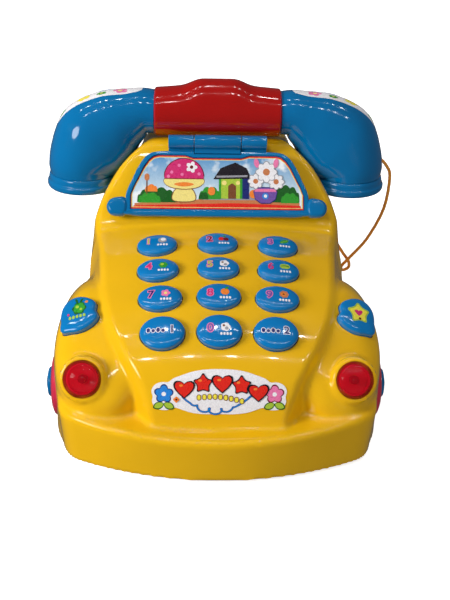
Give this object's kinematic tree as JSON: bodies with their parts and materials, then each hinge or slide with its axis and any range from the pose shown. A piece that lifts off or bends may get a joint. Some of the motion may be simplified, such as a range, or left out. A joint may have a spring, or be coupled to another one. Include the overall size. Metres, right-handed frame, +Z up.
{
  "type": "toy car telephone",
  "caption": "Toy desk telephone shaped as a rounded car: lift-off handset on the roof, hinged windscreen flap, keypad hood, side buttons, lamps, rolling wheels.",
  "frame": {"origin": "centre of the bounding box in plan (cord left out), on the floor the wheels stand on", "axes": "+Z up; the front bumper faces -Y; +X to the right when looking at the keypad"},
  "size_m": [0.2262, 0.2124, 0.1781],
  "materials": {
    "yellow_plastic": "gloss",
    "key_blue": "gloss",
    "blue_plastic": "gloss",
    "red_plastic": "gloss",
    "wheel_red": "gloss",
    "red_lens": "clear red, gloss",
    "led_epoxy": "clear",
    "printed_sticker": "printed, gloss film",
    "orange_cord": "braided string",
    "mat_rubber": "matte",
    "board_green": "solder mask",
    "speaker_metal": "satin",
    "cell_wrap": "printed film",
    "black_plastic": "matte",
    "zinc_steel": "zinc plated"
  },
  "bodies": {
    "car_body": {"base_plate": "yellow_plastic", "battery_door": "yellow_plastic", "battery_tray": "black_plastic", "body_shell": "yellow_plastic", "case_screw_1": "zinc_steel", "case_screw_2": "zinc_steel", "case_screw_3": "zinc_steel", "case_screw_4": "zinc_steel", "cell_1": "cell_wrap", "cell_2": "cell_wrap", "cell_3": "cell_wrap", "contact_front": "zinc_steel", "contact_rear": "zinc_steel", "door_screw": "zinc_steel", "front_label": "printed_sticker", "handset_cord": "orange_cord", "hinge_bracket": "blue_plastic", "hinge_pin": "zinc_steel", "key_board": "board_green", "key_mat": "mat_rubber", "lamp_led_left": "led_epoxy", "lamp_led_right": "led_epoxy", "lamp_lens_left": "red_lens", "lamp_lens_right": "red_lens", "main_board": "board_green", "speaker": "speaker_metal", "switch_case": "black_plastic"},
    "flap": {"windscreen_flap": "blue_plastic", "flap_picture": "printed_sticker"},
    "handset": {"handset_grip": "red_plastic", "handset_arm_left": "blue_plastic", "handset_arm_right": "blue_plastic", "mouthpiece_cap": "blue_plastic", "earpiece_cap": "blue_plastic"},
    "front_axle": {"axle_front": "zinc_steel", "wheel_front_left": "wheel_red", "wheel_front_right": "wheel_red", "hub_cap_front_left": "blue_plastic", "hub_cap_front_right": "blue_plastic"},
    "rear_axle": {"axle_rear": "zinc_steel", "wheel_rear_left": "wheel_red", "wheel_rear_right": "wheel_red", "hub_cap_rear_left": "blue_plastic", "hub_cap_rear_right": "blue_plastic"},
    "key_1_body": {"key_1": "key_blue"},
    "key_2_body": {"key_2": "key_blue"},
    "key_3_body": {"key_3": "key_blue"},
    "key_4_body": {"key_4": "key_blue"},
    "key_5_body": {"key_5": "key_blue"},
    "key_6_body": {"key_6": "key_blue"},
    "key_7_body": {"key_7": "key_blue"},
    "key_8_body": {"key_8": "key_blue"},
    "key_9_body": {"key_9": "key_blue"},
    "key_mode_left_body": {"key_mode_left": "key_blue"},
    "key_0_body": {"key_0": "key_blue"},
    "key_mode_right_body": {"key_mode_right": "key_blue"},
    "side_button_left_body": {"side_button_left": "key_blue"},
    "side_button_right_body": {"side_button_right": "key_blue"},
    "power_switch": {"switch_knob": "black_plastic"}
  },
  "joints": [
    {"name": "flap_hinge", "type": "hinge", "parent": "car_body", "child": "flap", "pos_m": [0, 0.04492, 0.1437], "axis": [-1, 0, 0], "range_deg": [0, 100]},
    {"name": "handset_lift", "type": "slide", "parent": "car_body", "child": "handset", "axis": [0, 0, 1], "range_m": [0, 0.08], "deforming": ["handset_cord"]},
    {"name": "front_axle_spin", "type": "hinge", "parent": "car_body", "child": "front_axle", "pos_m": [0, -0.035, 0.0205], "axis": [1, 0, 0], "continuous": true},
    {"name": "rear_axle_spin", "type": "hinge", "parent": "car_body", "child": "rear_axle", "pos_m": [0, 0.039, 0.0205], "axis": [1, 0, 0], "continuous": true},
    {"name": "key_1_press", "type": "slide", "parent": "car_body", "child": "key_1_body", "axis": [0.0895, 0.2355, -0.9677], "range_m": [0, 0.0016], "stiffness_N_per_m": 350},
    {"name": "key_2_press", "type": "slide", "parent": "car_body", "child": "key_2_body", "axis": [0, 0.2364, -0.9716], "range_m": [0, 0.0016], "stiffness_N_per_m": 350},
    {"name": "key_3_press", "type": "slide", "parent": "car_body", "child": "key_3_body", "axis": [-0.0895, 0.2355, -0.9677], "range_m": [0, 0.0016], "stiffness_N_per_m": 350},
    {"name": "key_4_press", "type": "slide", "parent": "car_body", "child": "key_4_body", "axis": [0.0868, 0.2823, -0.9554], "range_m": [0, 0.0016], "stiffness_N_per_m": 350},
    {"name": "key_5_press", "type": "slide", "parent": "car_body", "child": "key_5_body", "axis": [0, 0.2833, -0.959], "range_m": [0, 0.0016], "stiffness_N_per_m": 350},
    {"name": "key_6_press", "type": "slide", "parent": "car_body", "child": "key_6_body", "axis": [-0.0868, 0.2823, -0.9554], "range_m": [0, 0.0016], "stiffness_N_per_m": 350},
    {"name": "key_7_press", "type": "slide", "parent": "car_body", "child": "key_7_body", "axis": [0.0821, 0.3776, -0.9223], "range_m": [0, 0.0016], "stiffness_N_per_m": 350},
    {"name": "key_8_press", "type": "slide", "parent": "car_body", "child": "key_8_body", "axis": [0, 0.3789, -0.9255], "range_m": [0, 0.0016], "stiffness_N_per_m": 350},
    {"name": "key_9_press", "type": "slide", "parent": "car_body", "child": "key_9_body", "axis": [-0.0821, 0.3776, -0.9223], "range_m": [0, 0.0016], "stiffness_N_per_m": 350},
    {"name": "key_mode_left_press", "type": "slide", "parent": "car_body", "child": "key_mode_left_body", "axis": [0.0777, 0.5222, -0.8493], "range_m": [0, 0.0016], "stiffness_N_per_m": 350},
    {"name": "key_0_press", "type": "slide", "parent": "car_body", "child": "key_0_body", "axis": [0, 0.5237, -0.8519], "range_m": [0, 0.0016], "stiffness_N_per_m": 350},
    {"name": "key_mode_right_press", "type": "slide", "parent": "car_body", "child": "key_mode_right_body", "axis": [-0.0777, 0.5222, -0.8493], "range_m": [0, 0.0016], "stiffness_N_per_m": 350},
    {"name": "side_button_left_press", "type": "slide", "parent": "car_body", "child": "side_button_left_body", "axis": [0.2828, 0.4627, -0.8402], "range_m": [0, 0.0016], "stiffness_N_per_m": 350},
    {"name": "side_button_right_press", "type": "slide", "parent": "car_body", "child": "side_button_right_body", "axis": [-0.2828, 0.4627, -0.8402], "range_m": [0, 0.0016], "stiffness_N_per_m": 350},
    {"name": "power_switch_slide", "type": "slide", "parent": "car_body", "child": "power_switch", "axis": [0, 1, 0], "range_m": [0, 0.005]}
  ]
}
